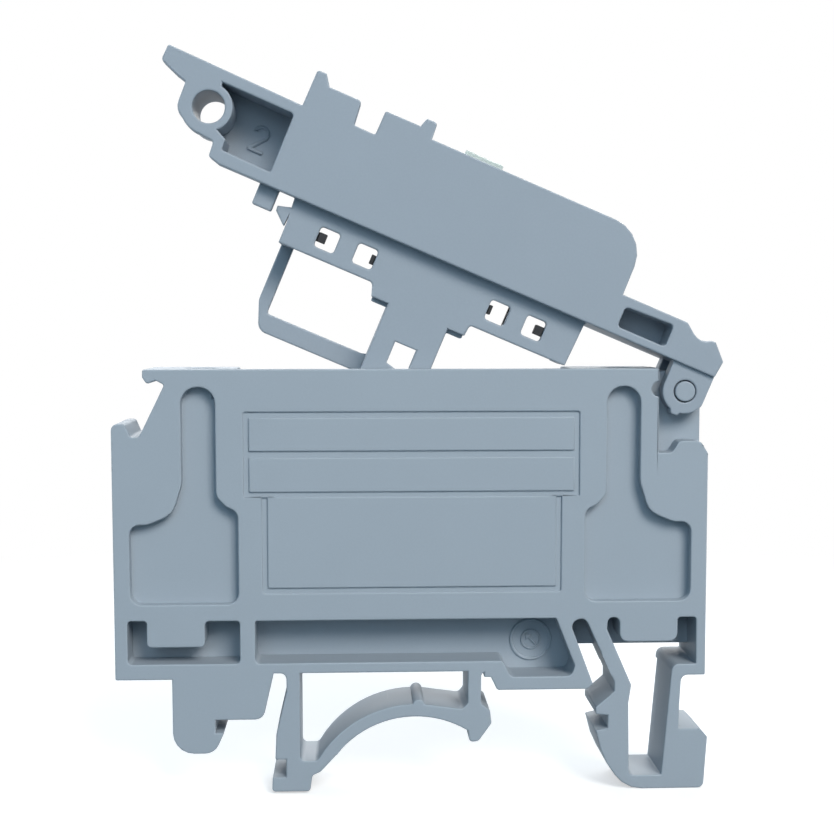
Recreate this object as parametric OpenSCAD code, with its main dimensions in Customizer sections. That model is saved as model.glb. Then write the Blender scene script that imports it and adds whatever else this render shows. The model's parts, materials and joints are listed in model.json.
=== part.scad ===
// Fuse terminal block for a 35 mm rail, with a hinged fuse lever and two cage clamps.
// X runs along the block, Y through its thickness with the closed face at -Y, Z up.
// The origin lies in the middle of the rail, at the level where its flange seats.

/* [Body] */
// Length over the two end walls
body_length = 52.9; // [52.6:0.1:56]
// Height of the top edge above the rail flange
body_top = 31.3; // [31.2:0.05:31.4]
// Thickness of the block along the rail
pitch = 8; // [7.9:0.05:8.6]
// Thickness of the closed face
face_wall = 1.1; // [1:0.05:1.2]
// Thickness of the two end walls
end_wall = 1.5; // [1.2:0.1:1.8]
// Depth of the two keyhole recesses in the closed face
recess_depth = 1.2; // [1:0.05:1.25]
// Thickness of the floor behind a keyhole recess
recess_wall = 0.7; // [0.6:0.05:0.75]
// Depth of the frame lines round the label fields
line_depth = 0.2; // [0.1:0.05:0.4]
// Depth of the wide channel below the label fields
channel_depth = 4; // [3.5:0.1:4.2]
// Depth of the small pocket at the lower left
corner_depth = 3.4; // [3:0.1:3.8]
// Thickness of the web between the front and back pockets
web_wall = 1; // [0.8:0.1:1.4]

/* [Rail] */
// Width of the mounting rail
rail_width = 35; // [34.8:0.1:35.2]
// Play of the rail in the two hooks, over both sides
rail_play = 0.3; // [0.1:0.05:0.5]
// Height of the groove that takes a rail flange
flange_groove = 1.18; // [1.1:0.01:1.3]
// Thickness of the feet along Y
foot_thick = 7.2; // [6:0.1:7.6]
// Thickness of the curved spring foot
arch_wall = 1.15; // [0.9:0.05:1.3]
// Radius under the curved spring foot
arch_radius = 9; // [8.8:0.1:9.1]

/* [Hinge] */
// Pivot distance from the middle of the rail
pivot_x = 24.37; // [24.3:0.01:24.4]
// Pivot height above the rail flange
pivot_z = 29.25; // [29.2:0.01:29.3]
// Diameter of the moulded hinge pin
pin_d = 1.8; // [1.6:0.05:1.9]
// Play of the hinge pin in the ears, on the radius
pin_play = 0.1; // [0.05:0.01:0.1]
// Thickness of the body web that carries the pin
web_thick = 3.4; // [3:0.1:3.6]
// Thickness of each lever ear
ear_thick = 1.75; // [1.5:0.05:1.8]
// Angle at which the lever stands open, from closed
lever_open = 23; // [0:0.5:90]

/* [Lever] */
// Height of the lever's top edge above the pivot
panel_top = 11.45; // [11.3:0.05:12]
// Height of the lever's lower edge above the pivot
panel_foot = 2.15; // [2.15:0.01:2.2]
// Thickness of the lever's front panel
panel_wall = 1; // [0.9:0.05:1]
// Depth of the lever's full outline, behind which it is stepped in
rim_depth = 1.8; // [1.4:0.1:2.2]
// Width of the step behind the lever's rim
rim_step = 0.5; // [0.3:0.05:0.6]
// Thickness of the tab that enters the body
tab_wall = 0.8; // [0.7:0.05:0.9]
// Play between the tab and the body's closed face
tab_play = 0.15; // [0.1:0.01:0.2]
// Radius of the hole in the pull eye
eye_radius = 1.4; // [1.2:0.05:1.5]
// Depth of the pocket in the lever's handle
handle_depth = 5; // [4:0.1:5.4]
// Depth of the small pocket beside the hinge
strip_depth = 3.5; // [3:0.1:4]

/* [Fuse] */
// Length of the cartridge fuse
fuse_length = 20; // [19.5:0.1:20.5]
// Diameter of the fuse caps
cap_d = 5.2; // [5:0.05:5.3]
// Length of a fuse cap
cap_length = 5; // [4.5:0.1:5.5]
// Diameter of the glass tube
glass_d = 4.9; // [4.6:0.05:4.9]
// Wall of the glass tube
glass_wall = 0.6; // [0.4:0.05:0.8]
// Diameter of the fuse wire
wire_d = 0.25; // [0.15:0.05:0.4]

/* [Contacts] */
// Sheet thickness of the fuse clips
clip_wall = 0.4; // [0.35:0.01:0.4]
// Width of a fuse clip along the fuse
clip_width = 4.2; // [3.8:0.1:4.4]
// Play between a fuse cap and its clip
clip_play = 0.05; // [0.02:0.01:0.08]
// Thickness of the knife blade under a clip
blade_thick = 0.8; // [0.7:0.05:0.9]
// Sheet thickness of a contact fork
fork_wall = 0.4; // [0.35:0.01:0.45]
// Thickness of a current bar
bar_thick = 1; // [0.8:0.05:1.1]
// Width of a current bar
bar_width = 3; // [2.8:0.05:3]
// Height of a current bar's underside above the rail flange
bar_z = 15; // [14.9:0.05:15.1]
// Diameter of the rivet in a current bar
rivet_d = 1.2; // [1:0.05:1.4]

/* [Clamps] */
// Distance of each clamp screw from the nearer end of the block
clamp_inset = 7.65; // [7.5:0.05:7.7]
// Thread diameter of the clamp screw
screw_d = 3; // [2.8:0.1:3.2]
// Diameter of the screw head
head_d = 3.8; // [3.6:0.05:3.9]
// Height of the screw head
head_height = 2; // [1.6:0.1:2.1]
// Radius of the hole for the screwdriver
driver_radius = 1.6; // [1.5:0.05:1.65]
// Radius of the hole for the conductor
entry_radius = 1.6; // [1.4:0.05:1.65]
// Length of a clamp cage along the conductor
cage_length = 6.2; // [5.8:0.1:6.2]
// Width of a clamp cage through the block
cage_width = 4.4; // [4.3:0.05:4.4]
// Side wall of a clamp cage
cage_wall = 0.6; // [0.5:0.05:0.65]
// Thickness of the threaded top of a clamp cage
cage_top = 2.2; // [1.8:0.1:2.3]
// Thickness of the floor of a clamp cage
cage_floor = 1; // [0.8:0.1:1.1]
// Room for the conductor under the current bar
cage_room = 3.3; // [3:0.1:3.4]
// Travel of a clamp cage from open to tight
cage_travel = 2.5; // [2.2:0.1:2.6]

/* [Indicator] */
// Length of the indicator board
board_length = 17; // [16.6:0.1:17.4]
// Width of the indicator board
board_width = 4; // [3.6:0.1:4.4]
// Thickness of the indicator board
board_thick = 0.6; // [0.5:0.05:0.65]
// Length of the lens
lens_length = 3.7; // [3.4:0.1:3.9]
// Height of the lens above the lever's top edge
lens_rise = 0.6; // [0.4:0.05:0.8]

/* [Hidden] */
$fn = 48;
plastic = [0.58, 0.64, 0.69];
steel = [0.72, 0.73, 0.75];
copper = [0.8, 0.74, 0.6];

left = -body_length / 2;
right = body_length / 2;
front = -pitch / 2;
back = pitch / 2;
cavity_y = front + face_wall;
recess_y = front + recess_depth;
chamber_y = recess_y + recess_wall;
// Mid-plane of the fuse, the blades, the bars and the screws
core_y = 0.2;
floor_z = 9.9;
clamp_x = right - clamp_inset;
entry_z = bar_z - cage_room / 2;
core_web_low = -web_thick / 2;
core_web_high = web_thick / 2;
snap_y = front + face_wall + 1.45;
cage_high = bar_z + bar_thick + 0.2;
head_low = cage_high + cage_top + cage_travel + 0.1;
left_hook_x = -(rail_width + rail_play) / 2;
right_hook_x = (rail_width + rail_play) / 2;

// A point of an outline is [x, z] or [x, z, radius]. An arc is laid in at each radius.
function unit(v) = v / norm(v);
function corner_points(a, b, c, r) =
    r <= 0 ? [b] :
    let(u = unit(a - b), v = unit(c - b), half = acos(u * v) / 2, reach = r / tan(half),
        middle = b + unit(u + v) * r / sin(half), p = b + u * reach - middle, q = b + v * reach - middle,
        turn = acos(min(1, max(-1, p * q / (r * r)))), side = p[0] * q[1] - p[1] * q[0] > 0 ? 1 : -1,
        steps = max(1, ceil(turn / 20)))
    [for (i = [0:steps]) let(a = side * turn * i / steps)
        middle + [p[0] * cos(a) - p[1] * sin(a), p[0] * sin(a) + p[1] * cos(a)]];
function flat(p) = [p[0], p[1]];
function rounded(points) = let(n = len(points))
    [for (i = [0:n - 1]) each corner_points(flat(points[(i + n - 1) % n]), flat(points[i]),
        flat(points[(i + 1) % n]), len(points[i]) > 2 ? points[i][2] : 0)];

// A side view in X and Z becomes a slab between two depths.
module slab(y0, y1) {
    translate([0, y1, 0]) rotate([90, 0, 0]) linear_extrude(y1 - y0) children();
}
module block(low, high) {
    translate(low) cube(high - low);
}
module outline(points) {
    polygon(rounded(points));
}
module both_sides() {
    children();
    mirror([1, 0, 0]) children();
}
module side(s) {
    if (s < 0) mirror([1, 0, 0]) children();
    else children();
}

// Housing: side views

web_top = pivot_z + 1.75;
web_right = pivot_x + 1.75;
step_x = pivot_x - 2.39;
step_z = 23.81;
under_z = 4.17;
sill_z = 2.43;

module body_side() {
    outline([
        [left + 2.8, body_top, 0.2],
        [web_right, body_top], [web_right, step_z + 0.4], [right, step_z - 0.1, 0.3],
        [right, 3.62, 0.2], [6.4, 3.62], [6.4, under_z], [-21.43, under_z], [-21.43, 3.7], [left, 3.7],
        [left, 26.55, 0.6], [left + 1.2, 26.55, 0.35], [left + 1.7, 25.35, 0.35], [left + 2.45, 25.4, 0.3],
        [left + 4.7, 29.95, 0.2], [left + 3.95, 30.35, 0.2], [left + 3.2, 30, 0.3], [left + 2.8, 30.6, 0.2]
    ]);
    outline([
        [6, 6], [6, 4.1], [6.8, 4.1, 0.2], [7.6, sill_z, 0.3], [15.75, sill_z], [16.4, 2.95], [15.5, 6]
    ]);
}

module left_foot_side() {
    outline([
        [-21.45, 6], [-21.45, -3.05, 1.9], [-17.75, -3.05, 1.3], [-16.9, -flange_groove],
        [left_hook_x, -flange_groove], [left_hook_x, 0], [-13.4, 0, 0.9], [-12.4, 4.3], [-12.4, 6]
    ]);
}

module arch_foot_side() {
    arch_x = 0.2;
    arch_z = -arch_radius + 0.1;
    // post, its hook below and the left end of the arch
    outline([
        [-12.2, 5], [-12.2, under_z], [-11.3, under_z, 0.55], [-11.3, 2.6, 1], [-12.25, -1.4, 0.8],
        [-12.35, -3.68, 0.1], [-11.38, -3.68], [-11.38, -5.3], [-12.6, -5.3, 0.1], [-12.68, -6.62, 0.3],
        [-9.25, -6.62, 0.3], [-9.05, -5.2, 0.3], [-8.3, -4.85, 0.3], [-6.9, -3.35], [-7.95, -2.85],
        [-8.6, -3.83, 0.5], [-10.1, -3.83, 0.45], [-10.1, 5]
    ]);
    intersection() {
        difference() {
            translate([arch_x, arch_z]) circle(r = arch_radius + arch_wall, $fn = 120);
            translate([arch_x, arch_z]) circle(r = arch_radius, $fn = 120);
        }
        polygon([[-6.9, -3.35], [-7.95, -2.85], [-7.95, 3], [5.2, 3], [5.2, -1.4], [0, -4.9], [-5.5, -4.9]]);
    }
    translate([0.52, arch_z + arch_radius + arch_wall - 0.15]) circle(r = 0.55);
    // right end of the arch, its stop and its post
    outline([
        [1.9, 0.2], [1.9, 1.1], [4.5, 0.75, 0.5], [4.95, 1.3, 0.4], [4.95, 5], [6.15, 5], [6.15, 1.2, 0.3],
        [6.95, 0.6, 0.4], [7.1, -0.6, 0.5], [5.9, -2.25, 0.5], [5.1, -2.3, 0.35], [4.9, -0.95, 0.4],
        [4.1, -0.45, 0.5]
    ]);
    outline([[5.9, 4.3], [5.9, 3.3], [6.15, 3.3], [6.15, 4.1, 0.45], [6.8, 4.1], [6.8, 4.3]]);
}

module latch_side() {
    difference() {
        outline([
            [15.9, 9.4], [15.9, 8.3], [18.2, 3.05, 0.3], [18.2, 2.2, 0.2], [16.52, 0.78, 0.2],
            [16.52, 0.1, 0.2], [right_hook_x, 0], [right_hook_x, -flange_groove], [16.55, -flange_groove - 0.25, 0.1],
            [17.2, -3.9, 4], [19.2, -6.82, 3], [26.42, -6.82, 0.55], [26.74, -2.1, 0.2], [25.95, -1.3, 0.2],
            [24.1, -1.3, 0.1], [24.15, 1], [24.3, 3.62, 0.6], [right, 3.62], [right, 9.4]
        ]);
        latch_gap_side();
    }
}
module slanted_slot_side() {
    outline([
        [16, 1.5], [15.75, sill_z], [16.28, 2.84, 0.1], [14.16, 8.52, 0.68], [15.5, 9.02, 0.68],
        [18.2, 3.05, 0.3], [18.2, 2.2, 0.2], [16.8, 1]
    ]);
}
module latch_gap_side() {
    outline([
        [17.5, 7.9, 0.2], [17.58, 8.95, 0.5], [18.64, 8.95, 0.5], [18.66, 6.72, 0.75], [23.9, 6.72, 0.75],
        [23.9, 8.93, 0.3], [25.57, 8.93, 0.3], [25.6, 4.66, 0.1], [23.45, 4.66, 0.7], [22.55, -5.56, 0.1],
        [19.6, -5.56, 0.5], [19.5, 1.1, 0.3], [19.75, 2.75, 0.4]
    ]);
}

module recess_side() {
    outline([
        [clamp_x - 1.45, body_top - 1.55, 1.45], [clamp_x + 1.55, body_top - 1.55, 1.45],
        [clamp_x + 1.55, 21.2, 1.5], [clamp_x + 2.4, 18.5, 1.8], [clamp_x + 4.6, 17.6, 1],
        [right - end_wall + 0.05, 17.6, 0.9], [right - end_wall + 0.05, 10.45, 1], [clamp_x - 3.35, 10.45, 1],
        [clamp_x - 3.35, 18.7, 0.9], [clamp_x - 2.3, 19.2, 0.6], [clamp_x - 1.45, 20.1, 1]
    ]);
}

module label_lines_side() {
    difference() {
        outline([[-14.9, 27.53, 0.2], [14.9, 27.53, 0.2], [14.9, 20, 0.1], [-14.9, 20, 0.1]]);
        translate([-14.45, 24.06]) square([28.9, 2.98]);
        translate([-14.45, 20.43]) square([28.9, 3.07]);
    }
    difference() {
        outline([[-13.3, 20.2], [13.3, 20.2], [13.3, 11.4, 0.2], [-13.3, 11.4, 0.2]]);
        translate([-12.87, 11.85]) square([25.74, 8.2]);
        translate([-14, 19.95]) square([28, 1]);
    }
}

module corner_pocket_side() {
    outline([
        [left + 1.15, 9, 0.3], [-23.62, 9, 0.3], [-23.62, 6.62, 0.4], [-18.48, 6.62, 0.4],
        [-18.48, 8.95, 0.4], [-15.4, 8.95, 0.3], [-15.4, 5.1, 0.4], [left + 1.15, 5.1, 0.4]
    ]);
}
module channel_side() {
    outline([
        [-14.03, 8.93, 0.2], [-14.03, 5.1, 0.4], [8.1, 5.1, 0.4], [8.8, 3.65, 0.5], [14.3, 3.65, 0.6],
        [14.6, 4.6, 0.3], [12.9, 8.93, 0.2]
    ]);
}
module hinge_recess_side() {
    outline([
        [step_x, body_top + 1], [step_x, step_z, 0.1], [23.2, step_z, 0.5], [23.85, 24.87, 0.55],
        [25.75, 24.87, 0.75], [26.5, 23.7], [28, 23.7], [28, body_top + 1]
    ]);
    translate([step_x, pivot_z + 0.23]) circle(r = 0.67);
}
// Space for the lever's tab, leg and loop, clear of the arcs that they swing through
module bay_side() {
    polygon([
        [-13.3, bar_z], [-13.3, 18.2], [-13.9, 20.6], [-14.3, 23], [-14.75, 26], [-14.9, 28], [-15.6, 28],
        [-15.6, body_top + 1], [14.1, body_top + 1], [14.1, bar_z], [5.4, bar_z], [5.4, floor_z + 4],
        [-5.4, floor_z + 4], [-5.4, bar_z]
    ]);
}
// Tops of the rooms for the raised cage and for the screw head, and the room round the head
cage_rise = head_low + 0.3;
head_rise = head_low + head_height + 0.4;
head_room = head_d / 2 + 0.15;
module clamp_chamber_side() {
    outline([
        [right - end_wall, floor_z, 0.4], [right - end_wall, cage_rise, 0.8], [clamp_x + head_room, cage_rise],
        [clamp_x + head_room, head_rise], [clamp_x - head_room, head_rise], [clamp_x - head_room, cage_rise],
        [clamp_x - cage_length / 2 - 0.2, cage_rise], [clamp_x - cage_length / 2 - 0.2, floor_z, 0.2]
    ]);
}

module stud(y0, y1) {
    translate([pivot_x, y1, pivot_z]) rotate([90, 0, 0]) cylinder(d = pin_d, h = y1 - y0);
}

module housing() color(plastic) {
    difference() {
        union() {
            slab(front, back) body_side();
            slab(front, front + foot_thick) left_foot_side();
            slab(front, front + foot_thick) arch_foot_side();
            slab(front, front + foot_thick) latch_side();
        }
        // closed face
        both_sides() slab(front - 1, recess_y) recess_side();
        slab(front - 1, front + line_depth) label_lines_side();
        slab(front - 1, front + corner_depth) corner_pocket_side();
        slab(front - 1, front + channel_depth) channel_side();
        // hinge recesses on both sides of the web, and the web's rounded head
        slab(front - 1, core_web_low) hinge_recess_side();
        slab(core_web_high, back + 1) hinge_recess_side();
        slab(front - 1, back + 1) hinge_head_side();
        // latch slots, with a floor behind their upper ends
        slab(front - 1, back + 1) intersection() {
            union() {
                slanted_slot_side();
                latch_gap_side();
            }
            translate([10, -10]) square([20, 15.8]);
        }
        slab(front - 1, front + channel_depth) intersection() {
            union() {
                slanted_slot_side();
                latch_gap_side();
            }
            translate([10, 5]) square([20, 6]);
        }
        // chambers, open at the back
        slab(cavity_y, back + 1) bay_side();
        both_sides() slab(chamber_y, back + 1) clamp_chamber_side();
        slab(cavity_y, snap_y + 0.15) translate([-17.65, 28.7]) square([2.5, 5]);
        slab(front + channel_depth + web_wall, back + 1) back_pockets_side();
        // ways in from the clamp chambers for the current bars
        both_sides() block([12, core_y - bar_width / 2, bar_z], [clamp_x - 2.8, back + 1, bar_z + bar_thick]);
        // conductor and screwdriver holes
        for (s = [-1, 1]) {
            translate([s * (right + 1), core_y, entry_z]) rotate([0, -s * 90, 0])
                cylinder(r = entry_radius, h = end_wall + 2);
            translate([s * clamp_x, core_y, 23]) cylinder(r = driver_radius, h = 12);
        }
    }
    stud(front + 0.25, back - 0.25);
    date_mark();
}

module hinge_head_side() {
    difference() {
        translate([pivot_x, pivot_z]) square([5, 5]);
        translate([pivot_x, pivot_z]) circle(r = 1.75);
    }
    translate([step_x + 0.3, web_top]) square([5, 5]);
}

// Pockets in the back that keep the moulding's walls even
module back_pockets_side() {
    intersection() {
        channel_side();
        translate([-14, 5.6]) square([28, 2.9]);
    }
    translate([-24.9, 5.7]) square([9, 2.8]);
    for (x = [-12.9, -3.9, 5.9]) translate([x, floor_z + 0.3]) square([7.6, 3]);
    both_sides() outline([[15.9, 24.6, 0.3], [15.9, 27.6, 0.3], [16.4, 27.6, 0.1], [16.4, 24.6, 0.1]]);
}

// A mould's round date mark, on the channel floor
module date_mark() {
    translate([11, 0, 6.3]) slab(front + channel_depth - 0.2, front + channel_depth) {
        difference() {
            circle(r = 1.95);
            circle(r = 1.7);
        }
        difference() {
            circle(r = 0.95);
            circle(r = 0.75);
        }
        rotate(45) polygon([[-0.12, -0.7], [0.12, -0.7], [0.12, 0.2], [0.4, 0.2], [0, 0.72], [-0.4, 0.2], [-0.12, 0.2]]);
    }
}

// Lever: side views about the pivot, as the lever stands when closed

panel_y = front + panel_wall;
tab_y = front + face_wall + tab_play;
lever_back = back - 0.1;
fuse_x = -24.5;
fuse_z = 5.6;
eye = [-48.24, 6.36];
leg_foot = -13.2;
tab_left = -38.55;
floor_wall = 0.35;
lens_x = -24.45;
lens_deep = 4.6;
board_left = lens_x - board_length / 2 - 0.45;

module lever_place() {
    translate([pivot_x, 0, pivot_z]) rotate([0, lever_open, 0]) children();
}

module panel_side() {
    outline([
        [-53.4, 9.92, 0.2], [-53.48, 8.45, 0.45], [-51.8, 7.8, 0.3], [-50.86, 7.55, 0.2], [-50.8, 5, 1.4],
        [-48.6, 3.95, 0.9], [-46.75, 3.8, 0.3], [-46.65, 2.45, 0.3], [-45.6, panel_foot, 0.2],
        [1.88, panel_foot], [2.05, 3.7, 0.2], [0.72, 5.05, 0.1], [0.35, 5.02, 0.2], [-0.55, 4.35, 1.4],
        [-2.3, 5.67, 0.25], [-8.6, 5.67], [-8.7, panel_top, 3.2],
        [-29.4, panel_top], [-29.5, 12.92, 0.3], [-30.5, 12.92, 0.2], [-30.75, 12.1], [-34.05, 12.1, 0.2],
        [-34.1, 9.85, 0.2], [-36.1, 9.9, 0.2], [-36.3, 12.05, 0.3], [-39.3, 12.05], [-39.95, 13, 0.2],
        [-40.8, 13, 0.25], [-40.86, 9.68, 0.1]
    ]);
    translate(eye) circle(r = 2.45);
}

// Outline behind the rim, without the lugs and stepped in along the handle
module panel_back_side() {
    inset = rim_step;
    outline([
        [-53.4 + inset, 9.92 - inset, 0.1], [-53.45 + inset, 8.3 + inset, 0.15], [-51.65, 7.8 + inset, 0.2],
        [-50.85 + inset, 7.5 + inset, 0.2], [-50.8 + inset, 5.2, 1.2], [-48.5, 3.95 + inset, 0.8],
        [-46.15, 3.8 + inset, 0.2], [-46.65 + inset, 2.95, 0.2], [-45.4, panel_foot + inset, 0.15],
        [tab_left - 0.15, panel_foot + inset], [tab_left - 0.15, panel_foot], [1.88, panel_foot],
        [2.05, 3.7, 0.2], [0.72, 5.05, 0.1], [0.35, 5.02, 0.2], [-0.55, 4.35, 1.4], [-2.3, 5.67, 0.25],
        [-8.6, 5.67], [-8.7, panel_top, 3.2], [board_left - 0.65, panel_top], [board_left - 0.65, 9.7]
    ]);
    translate(eye) circle(r = 2.45 - inset / 2);
}

module handle_pocket_side() {
    difference() {
        outline([
            [-47.95, 8.75], [-41.25, 8.7, 0.3], [-41.23, 3.3, 0.15], [-45.8, 3.42, 0.15], [-45.83, 4.35, 0.2],
            [-46.9, 4.9]
        ]);
        translate(eye) circle(r = 2.1);
    }
}

module strip_pocket_side() {
    outline([[-7.95, 2.9, 0.35], [-7.95, 4.75, 0.35], [-3.35, 4.95, 0.35], [-3.35, 2.9, 0.35]]);
}

module tab_side() {
    difference() {
        outline([
            [tab_left, panel_foot + floor_wall], [-38.2, -1.98, 0.15], [-29.4, -1.98, 0.4], [-29, -3.15, 0.1],
            [-27.4, -3.15], [-27.4, leg_foot, 0.8], [-21.65, leg_foot, 0.8], [-21.65, -3.15], [-20.05, -3.15, 0.1],
            [-19.95, -2.1, 0.3], [-10.75, -2.1, 0.2], [-10.55, panel_foot + floor_wall]
        ]);
        windows_side();
    }
}
module windows_side() {
    for (x = [-35.4, -31.8, -19.05, -15.55])
        outline([[x, -1.05, 0.3], [x + 1.85, -1.05, 0.3], [x + 1.85, 0.8, 0.3], [x, 0.8, 0.3]]);
    outline([[-25.5, -6], [-23.5, -6], [-23.5, -7.8], [-24.3, -8.3, 0.4], [-25.5, -8]]);
}

module ear_side() {
    difference() {
        union() {
            intersection() {
                circle(r = 2.02);
                translate([-3, -3]) square([4.9, 6]);
            }
            translate([-2.02, 0]) square([3.92, panel_foot + rim_step + 0.3]);
            outline([[-0.75, -1.7], [-0.42, -2.3, 0.15], [0.18, -2.3, 0.2], [0.55, -1.7]]);
        }
        circle(d = pin_d + 2 * pin_play);
    }
}

module loop_side() {
    difference() {
        outline([[-38.3, 0], [-38.3, -7.3, 1.5], [-37.3, -9.95, 1], [-26.9, -9.95], [-26.9, 0]]);
        outline([[-37.15, 1], [-37.15, -8.2, 0.3], [-26, -8.2], [-26, 1]]);
        translate([-37, -7]) square([12, 9]);
    }
}

// Room for the fuse, its clips and the indicator
module fuse_room_side() {
    outline([
        [-37.5, panel_foot + floor_wall, 0.3], [-37.5, 8.95, 0.3], [board_left, 8.95], [board_left, 10.55, 0.3],
        [-11.7, 10.55, 1.5], [-11.7, panel_foot + floor_wall, 0.3]
    ]);
}

module fuse_lever() color(plastic) lever_place() {
    difference() {
        union() {
            slab(front, front + rim_depth) panel_side();
            slab(front, lever_back) panel_back_side();
        }
        translate([eye[0], 0, eye[1]]) rotate([90, 0, 0]) cylinder(r = eye_radius, h = 20, center = true);
        slab(front - 1, front + handle_depth) handle_pocket_side();
        slab(front + handle_depth + web_wall, back + 1) handle_back_pocket_side();
        slab(front - 1, front + strip_depth) strip_pocket_side();
        slab(panel_y, back + 1) fuse_room_side();
        // slots in the room's floor for the blades and barbs, and a notch for each clip's lip
        for (s = [-1, 1]) {
            x = fuse_x + s * clip_shift;
            block([blade_x(s) - 0.85, core_y - blade_thick / 2 - 0.1, 1],
                [blade_x(s) + 0.85, core_y + blade_thick / 2 + 0.1, panel_foot + 1]);
            block([x - clip_width / 2 - 0.1, 1.5, 1], [x + clip_width / 2 + 0.1, back + 1, panel_foot + 1]);
            for (b = barbs(s)) block([b[0] - 0.1, barb_y - 0.05, 1], [b[1] + 0.1, barb_y + clip_wall + 0.1, panel_foot + 1]);
        }
        // opening for the lens
        block([lens_x - lens_length / 2, -lens_deep / 2 + core_y, 10], [lens_x + lens_length / 2, lens_deep / 2 + core_y, 14]);
        // body web between the ears
        block([-10, core_web_low - 0.15, 0], [5, core_web_high + 0.15, panel_foot]);
    }
    // tab, leg and their stiffening walls
    slab(tab_y, tab_y + tab_wall) tab_side();
    block([-38.5, panel_y - 0.05, panel_foot], [-10.6, tab_y + tab_wall, panel_foot + floor_wall]);
    block([-38.35, tab_y, -1.95], [-37.5, lever_back - 0.7, panel_foot + 0.5]);
    block([-11.6, tab_y, -2.05], [-10.75, lever_back - 0.7, panel_foot + 0.5]);
    for (x = [-27.4, -22.45]) block([x, tab_y, leg_foot + 0.8], [x + 0.8, lever_back - 0.7, panel_foot + 0.5]);
    block([-26.7, tab_y, leg_foot], [-22.35, lever_back - 0.7, leg_foot + 0.8]);
    for (x = [-28.9, -21.7]) block([x, tab_y + tab_wall, -3.5], [x + 1.55, 0, -2.6]);
    // guard loop on the left of the leg
    slab(loop_y, loop_y + 1.1) loop_side();
    // snap tab and snap nib
    block([-41.8, tab_y, 0.24], [-40, snap_y, panel_foot + 0.6]);
    slab(tab_y, tab_y + 1.6) outline([[-38.4, 1.3], [-38.97, 1.13], [-39.65, 0.95, 0.1], [-39.6, 0.5, 0.1], [-38.5, -0.5]]);
    // ears
    slab(front + 0.4, front + 0.4 + ear_thick) ear_side();
    slab(back - 0.4 - ear_thick, back - 0.4) ear_side();
    // plain digit on the pocket floor
    translate([-43.6, 0, 5.9]) slab(front + handle_depth - 0.25, front + handle_depth + 0.1) digit_two();
}
loop_y = core_y + 1.75;

module handle_back_pocket_side() {
    outline([[-45.4, 8.7, 0.3], [-41.15, 8.7, 0.3], [-41.2, 3.3, 0.3], [-45.4, 3.3, 0.3]]);
}

// The figure 2, drawn with arcs
module digit_two() {
    intersection() {
        difference() {
            translate([0, 0.5]) circle(r = 0.75);
            translate([0, 0.5]) circle(r = 0.45);
        }
        polygon([[-1, 0.55], [-1, 1.5], [1, 1.5], [1, 0.02], [0.3, 0.02], [0, 0.55]]);
    }
    polygon([[0.72, 0.25], [0.42, 0.3], [-0.75, -0.95], [-0.75, -1.25], [-0.5, -1.25]]);
    translate([-0.75, -1.25]) square([1.5, 0.32]);
}

// Indicator

board_z = 9.1;
led_z = board_z + board_thick;

module indicator_lens() color([0.78, 0.86, 0.8, 0.8]) lever_place() {
    difference() {
        block([lens_x - lens_length / 2 + 0.05, core_y - lens_deep / 2 + 0.05, led_z + 0.75],
            [lens_x + lens_length / 2 - 0.05, core_y + lens_deep / 2 - 0.05, panel_top + lens_rise]);
        block([lens_x - 1.1, core_y - 0.8, led_z], [lens_x + 1.1, core_y + 0.8, led_z + 1.1]);
    }
}

module indicator_board() color([0.16, 0.4, 0.24]) lever_place() {
    block([lens_x - board_length / 2, core_y - board_width / 2, board_z],
        [lens_x + board_length / 2, core_y + board_width / 2, led_z]);
}

module indicator_led() color([0.9, 0.88, 0.8]) lever_place() {
    block([lens_x - 0.8, core_y - 0.4, led_z], [lens_x + 0.8, core_y + 0.4, led_z + 0.4]);
    translate([lens_x, core_y, led_z + 0.4]) cylinder(r = 0.35, h = 0.2);
}

module indicator_resistor() color([0.12, 0.12, 0.13]) lever_place() {
    x = lens_x + board_length / 2 - 4.9;
    block([x, core_y - 0.6, led_z], [x + 2, core_y + 0.6, led_z + 0.55]);
}

spring_gap = board_z - (fuse_z + cap_d / 2 + clip_play + clip_wall);
module indicator_spring(s) color(copper) lever_place() {
    x = fuse_x + s * 7.2;
    block([x - 1, core_y - 0.5, board_z - spring_gap], [x + 1, core_y + 0.5, board_z - spring_gap + 0.15]);
    block([x - s * 1 - 0.1, core_y - 0.5, board_z - spring_gap], [x - s * 1 + 0.1, core_y + 0.5, board_z]);
}

// Fuse

module along_fuse(x0, x1, r) {
    translate([fuse_x + x0, core_y, fuse_z]) rotate([0, 90, 0]) cylinder(r = r, h = x1 - x0);
}

module fuse_glass() color([0.85, 0.9, 0.9, 0.4]) lever_place() {
    reach = fuse_length / 2 - 0.4;
    difference() {
        along_fuse(-reach, reach, glass_d / 2);
        along_fuse(-reach - 1, reach + 1, glass_d / 2 - glass_wall);
    }
}

module fuse_cap(s) color(steel) lever_place() {
    outer = fuse_length / 2;
    difference() {
        side_along(s, outer - cap_length, outer, cap_d / 2);
        side_along(s, outer - cap_length - 1, outer - 0.35, glass_d / 2 + 0.02);
    }
}
module side_along(s, x0, x1, r) {
    if (s > 0) along_fuse(x0, x1, r);
    else along_fuse(-x1, -x0, r);
}

module fuse_wire() color(copper) lever_place() {
    along_fuse(-fuse_length / 2 + 0.4, fuse_length / 2 - 0.4, wire_d / 2);
}

// Contacts

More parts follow.
